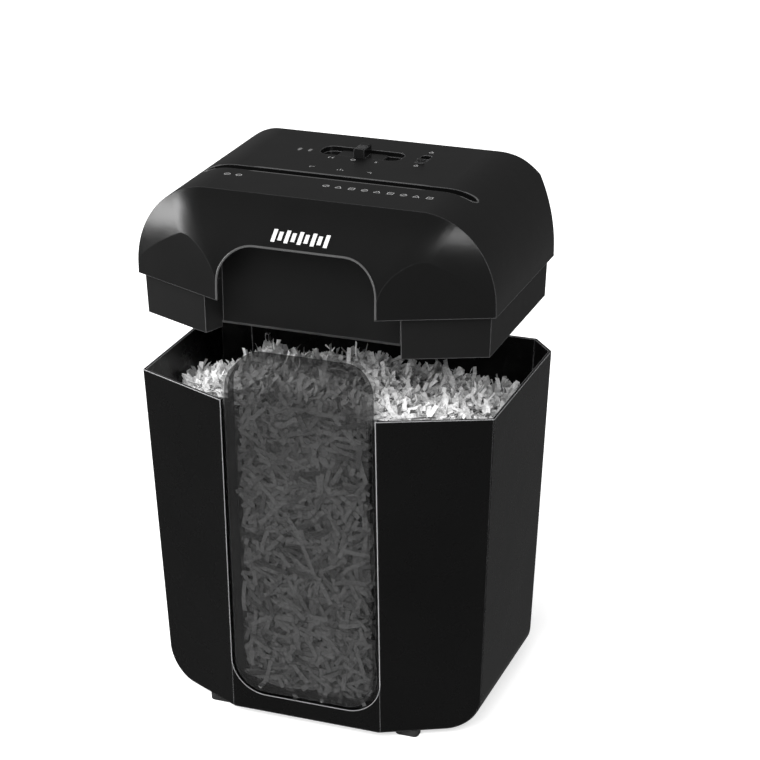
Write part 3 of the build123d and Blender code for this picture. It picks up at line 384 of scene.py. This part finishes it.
class StripHeap:
    """Collects strips into one mesh."""

    def __init__(self, allowed):
        self.vertices, self.faces = [], []
        self.allowed = allowed

    def add(self, centre, turn, length, curl, twist):
        points = [turn @ p + centre for p in strip_shape(length, curl, twist)]
        if not all(self.allowed(p) for p in points):
            return
        start = len(self.vertices)
        rise = turn @ Vector((0, 0, STRIP_THICKNESS))
        self.vertices += points + [p + rise for p in points]
        count = len(points)
        for i in range(0, count - 2, 2):
            a, b, c, d = start + i, start + i + 1, start + i + 3, start + i + 2
            self.faces += [(a, d, c, b), (a + count, b + count, c + count, d + count)]
            self.faces += [(a, a + count, d + count, d), (b, c, c + count, b + count)]
        last = start + count - 2
        self.faces.append((start, start + 1, start + 1 + count, start + count))
        self.faces.append((last, last + count, last + 1 + count, last + 1))


def eased(t):
    """A smooth step from 0 to 1."""
    t = min(max(t, 0.0), 1.0)
    return t * t * (3 - 2 * t)


def heap_height(x, y):
    """How high the paper stands in the bin: heaped to the front right, low at the back and left."""
    broad = 5 * MM * math.sin(x * 31 + 1.2) * math.cos(y * 37 - 0.4)
    swell = broad + 3 * MM * math.sin(x * 73 + y * 51)
    away_back = 46 * MM * eased((y - 15 * MM) / (85 * MM))
    away_left = 34 * MM * eased((-x - 80 * MM) / (80 * MM))
    away_right = 14 * MM * eased((x - 120 * MM) / (45 * MM))
    return HEAP_TOP + swell - away_back - away_left - away_right


def inside_bin(point):
    """Whether a point is in the bin's room, clear of its walls and of the window."""
    drop = max(RIM - point.z, 0.0)
    side = BIN_HIGH.x - SIDE_DRAFT * drop - STRIP_CLEARANCE
    back = BIN_HIGH.y - BACK_DRAFT * drop - STRIP_CLEARANCE
    front = BIN_LOW.y + FRONT_DRAFT * drop + STRIP_CLEARANCE
    x = abs(point.x)
    if x > side or point.y > back or point.z < BIN_LOW.z + STRIP_CLEARANCE:
        return False
    before_pane = x < PANE_STRIP_HALF and point.z < RIM
    if x < PANE_ROOM_HALF and point.y < front + (0 if before_pane else PANE_RIM_DEPTH):
        return False
    if PANE_ROOM_HALF <= x < JAMB_HALF and point.y < front + JAMB_DEPTH:
        return False
    if x >= FRONT_FLAT and point.y < front + (x - FRONT_FLAT) * FRONT_CUT_SLOPE + 1.5 * MM:
        return False
    if x > BACK_FLAT and point.y > back - (x - BACK_FLAT) * BACK_CUT_SLOPE:
        return False
    low_corner = BIN_LOW.z + LOW_CORNER_R
    if point.z < low_corner and x > side - LOW_CORNER_R:
        reach = math.hypot(x - (side - LOW_CORNER_R), low_corner - point.z)
        return reach < LOW_CORNER_R - STRIP_CLEARANCE
    return True


def random_turn(tilt):
    """A free heading with a bounded tilt."""
    heading = random.uniform(0, 2 * math.pi)
    lean = (random.gauss(0, tilt), random.gauss(0, tilt), heading)
    return Euler(lean).to_matrix()


def scatter_top(heap, count):
    """Loose strips on and just under the heap's surface."""
    for _ in range(count):
        x = random.uniform(-0.165, 0.165)
        y = random.uniform(-0.118, 0.116)
        depth = random.random() ** 1.5 * 26 * MM
        centre = Vector((x, y, heap_height(x, y) - depth))
        turn = random_turn(0.5 if depth > 4 * MM else 0.7)
        length = random.uniform(14, 36) * MM
        heap.add(centre, turn, length, random.gauss(0, 2.0), random.gauss(0, 1.2))


def scatter_behind_pane(heap, count):
    """Strips pressed flat against the window."""
    for _ in range(count):
        x = random.uniform(-0.0645, 0.0645)
        z = random.uniform(PANE_LOW.z + 12 * MM, RIM - 3 * MM)
        depth = random.random() * 13 * MM
        y = BIN_LOW.y + FRONT_DRAFT * (RIM - z) + 5 * MM + depth
        upright = Matrix.Rotation(math.radians(90) + random.gauss(0, 0.25), 3, "X")
        turn = upright @ Matrix.Rotation(random.uniform(0, math.pi), 3, "Z")
        length = random.uniform(16, 38) * MM
        heap.add(Vector((x, y, z)), turn, length, random.gauss(0, 1.1), random.gauss(0, 0.35))


def settle_under_head(paper):
    """Gives the paper its own copy of its mesh data."""
    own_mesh(paper)


def add_shreds():
    heap = StripHeap(inside_bin)
    scatter_top(heap, TOP_STRIPS)
    scatter_behind_pane(heap, PANE_STRIPS)
    settle_under_head(add_piece("paper_shreds", heap.vertices, heap.faces, PAPER, "bin"))


def in_core(across, deep, z):
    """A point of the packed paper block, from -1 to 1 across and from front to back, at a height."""
    drop = RIM - z
    side = BIN_HIGH.x - SIDE_DRAFT * drop - CORE_CLEARANCE
    back = BIN_HIGH.y - BACK_DRAFT * drop - CORE_CLEARANCE
    front = BIN_LOW.y + FRONT_DRAFT * drop + CORE_FRONT_CLEARANCE
    if z < BIN_LOW.z + CORE_CORNER_H:
        below = BIN_LOW.z + CORE_CORNER_H - z
        side -= CORE_CORNER_R - math.sqrt(max(0.0, CORE_CORNER_R**2 - below**2))
    x = across * side
    low = front + max(0.0, abs(x) - FRONT_FLAT) * FRONT_CUT_SLOPE
    high = back - max(0.0, abs(x) - CORE_BACK_FLAT) * BACK_CUT_SLOPE
    return Vector((x, low + (deep + 1) / 2 * (high - low), z))


def core_edge(stride):
    """The indices round one layer of the block's grid, in order."""
    front = list(range(stride))
    right = [stride * j + CORE_COLUMNS for j in range(1, CORE_ROWS + 1)]
    back = [stride * CORE_ROWS + i for i in range(CORE_COLUMNS - 1, -1, -1)]
    left = [stride * j for j in range(CORE_ROWS - 1, 0, -1)]
    return front + right + back + left


def add_packed_core():
    """The mass of paper under the loose strips: a lumpy block that follows the bin's walls."""
    vertices, faces = [], []
    floor = BIN_LOW.z + CORE_CLEARANCE
    for on_top in (False, True):
        for j in range(CORE_ROWS + 1):
            for i in range(CORE_COLUMNS + 1):
                across, deep = 2 * i / CORE_COLUMNS - 1, 2 * j / CORE_ROWS - 1
                place = in_core(across, deep, RIM)
                z = heap_height(place.x, place.y) - CORE_DEPTH if on_top else floor
                vertices.append(in_core(across, deep, z))
    stride = CORE_COLUMNS + 1
    layer = stride * (CORE_ROWS + 1)
    for j in range(CORE_ROWS):
        for i in range(CORE_COLUMNS):
            a = j * stride + i
            faces.append((a, a + stride, a + stride + 1, a + 1))
            faces.append((a + layer, a + layer + 1, a + layer + stride + 1, a + layer + stride))
    edge = core_edge(stride)
    for a, b in zip(edge, edge[1:] + edge[:1]):
        faces.append((a, b, b + layer, a + layer))
    settle_under_head(add_piece("paper_core", vertices, faces, PAPER_CORE, "bin"))


def packed_paper():
    """Paper in bulk: strips in every direction, with painted shade dark between them."""
    tree = Tree("packed_paper")
    cells = tree.add("ShaderNodeTexVoronoi", feature="F1")
    cells.inputs["Scale"].default_value = 150
    tree.join(tree.position((1, 1, 0.5)), cells.inputs["Vector"])
    # Dark towards the cell edges: painted shade in the gaps between strips.
    tone = tree.ramp(cells.outputs["Distance"], [(0.1, 0.46), (0.7, 0.06)])
    tree.join(tone, tree.shader.inputs["Base Color"])
    tree.join(tree.spread(tree.noise(300), 0.75, 0.92), tree.shader.inputs["Roughness"])
    tree.bump(cells.outputs["Distance"], 0.8, 0.002)
    return tree.material


PAPER_CORE = packed_paper()

# --- Marks on the head
cover_mesh = nodes["top_cover"].data
COVER_TREE = BVHTree.FromPolygons(
    [v.co.copy() for v in cover_mesh.vertices], [tuple(p.vertices) for p in cover_mesh.polygons]
)


def on_face(x, z):
    """The point of the head's front face at that x and z, a hair proud."""
    hit, _, _, _ = COVER_TREE.ray_cast(Vector((x, HEAD_LOW.y - 0.1, z)), Vector((0, 1, 0)))
    return hit + Vector((0, -INK_LIFT, INK_LIFT))


def on_deck(x, y):
    hit, _, _, _ = COVER_TREE.ray_cast(Vector((x, y, DECK + 0.1)), Vector((0, 0, -1)))
    return hit + Vector((0, 0, INK_LIFT))


def flat_shape(name, outlines, place, material):
    """Flat inked shapes: each outline is a polygon in a 2D plane that place maps onto a surface."""
    vertices, faces = [], []
    for outline in outlines:
        start = len(vertices)
        vertices += [place(*point) for point in outline]
        faces.append(tuple(range(start, start + len(outline))))
    add_piece(name, vertices, faces, material, "head")


def stroke(a, b, width):
    """A straight stroke as four points."""
    a, b = Vector(a), Vector(b)
    side = (b - a).normalized().orthogonal() * width / 2
    return [tuple(a - side), tuple(b - side), tuple(b + side), tuple(a + side)]


def ring(x, y, radius, width, sides=20):
    """A circle drawn as short strokes."""
    points = [
        (x + radius * math.cos(2 * math.pi * i / sides), y + radius * math.sin(2 * math.pi * i / sides))
        for i in range(sides)
    ]
    return [stroke(a, b, width) for a, b in zip(points, points[1:] + points[:1])]


def polyline(points, width, closed=False):
    ends = points[1:] + (points[:1] if closed else [])
    return [stroke(a, b, width) for a, b in zip(points, ends)]


def in_mm(*points):
    return [(x * MM, y * MM) for x, y in points]


def pictogram(kind, x, y):
    """One small sign, in millimetres on the deck: a crossed ring, a triangle or a barred square."""
    if kind == 0:
        bar = in_mm((x - 1.9, y - 1.9), (x + 1.9, y + 1.9))
        return ring(x * MM, y * MM, 2.7 * MM, INK_LINE) + [stroke(*bar, INK_LINE)]
    if kind == 1:
        corners = in_mm((x - 3.0, y - 2.4), (x + 3.0, y - 2.4), (x, y + 2.7))
        return polyline(corners, INK_LINE, True)
    corners = in_mm((x - 2.5, y - 2.5), (x + 2.5, y - 2.5), (x + 2.5, y + 2.5), (x - 2.5, y + 2.5))
    return polyline(corners, INK_LINE, True) + [stroke(*in_mm((x - 1.4, y), (x + 1.4, y)), INK_LINE)]


def padlock(x, y):
    """A closed padlock's outline, in millimetres on the deck."""
    case = in_mm((x - 1.6, y - 1.5), (x + 1.6, y - 1.5), (x + 1.6, y + 1), (x - 1.6, y + 1))
    shackle = in_mm((x - 1, y + 1), (x, y + 2.6), (x + 1, y + 1))
    return polyline(case, INK_LINE, True) + polyline(shackle, INK_LINE)


def add_deck_marks():
    """Generic symbols: stop ring, arrows, slot marks, lamp dots, a row of small pictograms."""
    shapes = ring(-7 * MM, 40.5 * MM, 2.0 * MM, INK_LINE)
    for x in (-31, -27.5):
        shapes += polyline(in_mm((x + 2, 38.6), (x, 40.4), (x + 2, 42.2)), INK_LINE)
    shapes += polyline(in_mm((14, 38.6), (16, 40.4), (14, 42.2)), INK_LINE)
    shapes += polyline(in_mm((-36, 8), (-36, 10.5), (-32, 10.5)), INK_LINE)
    shapes += polyline(in_mm((22, 8), (22, 10.5), (18, 10.5)), INK_LINE)
    for i, tall in enumerate((2.4, 4.4, 2.4)):
        x = -9.5 + 2.5 * i
        shapes.append(stroke(*in_mm((x, 7.5), (x, 7.5 + tall)), INK_LINE))
    for x, y in ((-96.5, -35), (-85.6, -34.5)):
        shapes += ring(x * MM, y * MM, 2.6 * MM, INK_LINE)
        shapes.append(stroke(*in_mm((x - 1.4, y), (x + 1.4, y)), INK_LINE))
    for i in range(9):
        shapes += pictogram(i % 3, -2 + 12 * i, -37.5 - 0.2 * i)
    for x, y in ((52, 84.5), (52, 43)):
        shapes += padlock(x, y)
    flat_shape("deck_marks", shapes, on_deck, INK)


def add_emblem():
    """A plain badge of slanted bars, like a sheet leaving as strips."""
    shapes = []
    base = HEAD_LOW.z + 55.0 * MM
    bar_width, lean_share, cells = 3.6 * MM, 0.18, 4
    for i in range(9):
        x = (-27 + 6.0 * i) * MM
        tall = (9.5 if i % 2 == 0 else 6.5) * MM
        low = base + (0 if i % 2 == 0 else 1.5 * MM)
        lean = lean_share * tall
        for k in range(cells):
            a, b = low + tall * k / cells, low + tall * (k + 1) / cells
            xa, xb = x + lean * k / cells, x + lean * (k + 1) / cells
            shapes.append([(xa, a), (xa + bar_width, a), (xb + bar_width, b), (xb, b)])
    flat_shape("front_emblem", shapes, on_face, EMBLEM_INK)


def add_arch_lip():
    """The rounded lip that edges the arch in the head's front face."""
    grow, sunk, steps = 0.7 * MM, 0.55 * MM, 12
    half, top, radius = ARCH_HALF + grow, ARCH_TOP + grow, ARCH_R + grow
    path = [(-half, 1 * MM), (-half, 9 * MM)]
    for side in (-1, 1):
        corner = []
        for i in range(steps + 1):
            a = math.pi / 2 * i / steps
            across, up = radius * math.cos(a), radius * math.sin(a)
            corner.append((side * (half - radius + across), top - radius + up))
        path += corner if side < 0 else corner[::-1]
        if side < 0:
            path += [(half * k, top) for k in (-0.4, -0.2, 0.0, 0.2, 0.4)]
    path += [(half, 9 * MM), (half, 1 * MM)]
    points = [on_face(x, HEAD_LOW.z + h) + Vector((0, sunk, 0)) for x, h in path]
    add_bead("arch_lip", points, 1.0 * MM, 0.0, False)


def add_bead(name, points, radius, sink, closed):
    """A round bead of pale plastic along a path on the cover, sunk into it; its paleness is a painted
    highlight.
    """
    curve = bpy.data.curves.new(name, "CURVE")
    curve.dimensions = "3D"
    curve.bevel_depth = radius
    curve.bevel_resolution = 3
    curve.use_fill_caps = not closed
    spline = curve.splines.new("POLY")
    spline.points.add(len(points) - 1)
    spline.use_cyclic_u = closed
    for point, place in zip(spline.points, points):
        point.co = (place.x, place.y, place.z - sink, 1)
    curve.materials.append(LIP_HIGHLIGHT_PLASTIC)
    bead = bpy.data.objects.new(name, curve)
    bpy.context.scene.collection.objects.link(bead)
    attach(bead, "head")


def add_slot_lip():
    """The raised rolled edge round the paper slot's groove."""
    middle, half, radius = SLOT_Y, GROOVE_HALF, GROOVE_HALF_WIDTH + 0.8 * MM
    path = []
    for side in (1, -1):
        shares = (-0.9, -0.6, -0.3, 0, 0.3, 0.6, 0.9)
        path += [(side * half * share, middle - side * radius) for share in shares]
        for i in range(7):
            a = -math.pi / 2 + math.pi * i / 6
            across, along = radius * math.cos(a), radius * math.sin(a)
            path.append((side * (half - radius + across), middle + side * along))
    add_bead("slot_lip", [on_deck(*point) for point in path], 0.75 * MM, 0.5 * MM, True)


# The lips' plastic is much paler than the cover's: a painted highlight along the arch and slot edges.
LIP_HIGHLIGHT_PLASTIC = moulded_plastic("lip_highlight_plastic", 0.075, 0.16, 0.28, 1700, 0.00004, 0.0004, 0.6)


# --- Studio ----------------------------------------------------------------------------------------------
def add_floor():
    half = FLOOR_HALF
    corners = [(-half, -half, 0), (half, -half, 0), (half, half, 0), (-half, half, 0)]
    mesh = bpy.data.meshes.new("studio_floor")
    mesh.from_pydata(corners, [], [(0, 1, 2, 3)])
    mesh.materials.append(floor_paint())
    floor = bpy.data.objects.new("studio_floor", mesh)
    bpy.context.scene.collection.objects.link(floor)
    floor.visible_glossy = False


def add_soft_box(name, place, target, size, power):
    light = bpy.data.lights.new(name, "AREA")
    light.shape = "RECTANGLE"
    light.size, light.size_y = size
    light.energy = power
    lamp = bpy.data.objects.new(name, light)
    lamp.location = place
    lamp.rotation_euler = (Vector(target) - Vector(place)).to_track_quat("-Z", "Y").to_euler()
    bpy.context.scene.collection.objects.link(lamp)


def add_sun(strength, spread, tilt):
    light = bpy.data.lights.new("overhead", "SUN")
    light.energy = strength
    light.angle = math.radians(spread)
    lamp = bpy.data.objects.new("overhead", light)
    lamp.rotation_euler = tuple(math.radians(t) for t in tilt)
    lamp.visible_glossy = False
    bpy.context.scene.collection.objects.link(lamp)


def add_world(backdrop, fill):
    """White backdrop that lights the object only a little, so black plastic stays black."""
    world = bpy.data.worlds.new("studio")
    world.use_nodes = True
    tree = world.node_tree
    tree.nodes["Background"].inputs["Strength"].default_value = fill
    seen = tree.nodes.new("ShaderNodeBackground")
    seen.inputs["Strength"].default_value = backdrop
    for background in (tree.nodes["Background"], seen):
        background.inputs["Color"].default_value = (1, 1, 1, 1)
    path = tree.nodes.new("ShaderNodeLightPath")
    either = tree.nodes.new("ShaderNodeMixShader")
    tree.links.new(path.outputs["Is Camera Ray"], either.inputs[0])
    tree.links.new(tree.nodes["Background"].outputs[0], either.inputs[1])
    tree.links.new(seen.outputs[0], either.inputs[2])
    tree.links.new(either.outputs[0], tree.nodes["World Output"].inputs[0])
    bpy.context.scene.world = world


paint_nodes()
add_packed_core()
add_shreds()
add_deck_marks()
add_emblem()
add_arch_lip()
add_slot_lip()
add_floor()
add_sun(3.3, 50, (44, -10, 0))
add_soft_box("left_box", (-1.9, -0.45, 1.0), (0, 0, 0.4), (0.5, 1.3), 26)
add_soft_box("right_box", (1.25, -1.0, 1.55), (0, 0, 0.45), (0.3, 0.9), 9)
add_world(BACKDROP_STRENGTH, BACKDROP_FILL)
bpy.context.scene.view_settings.view_transform = "Standard"
add_camera()
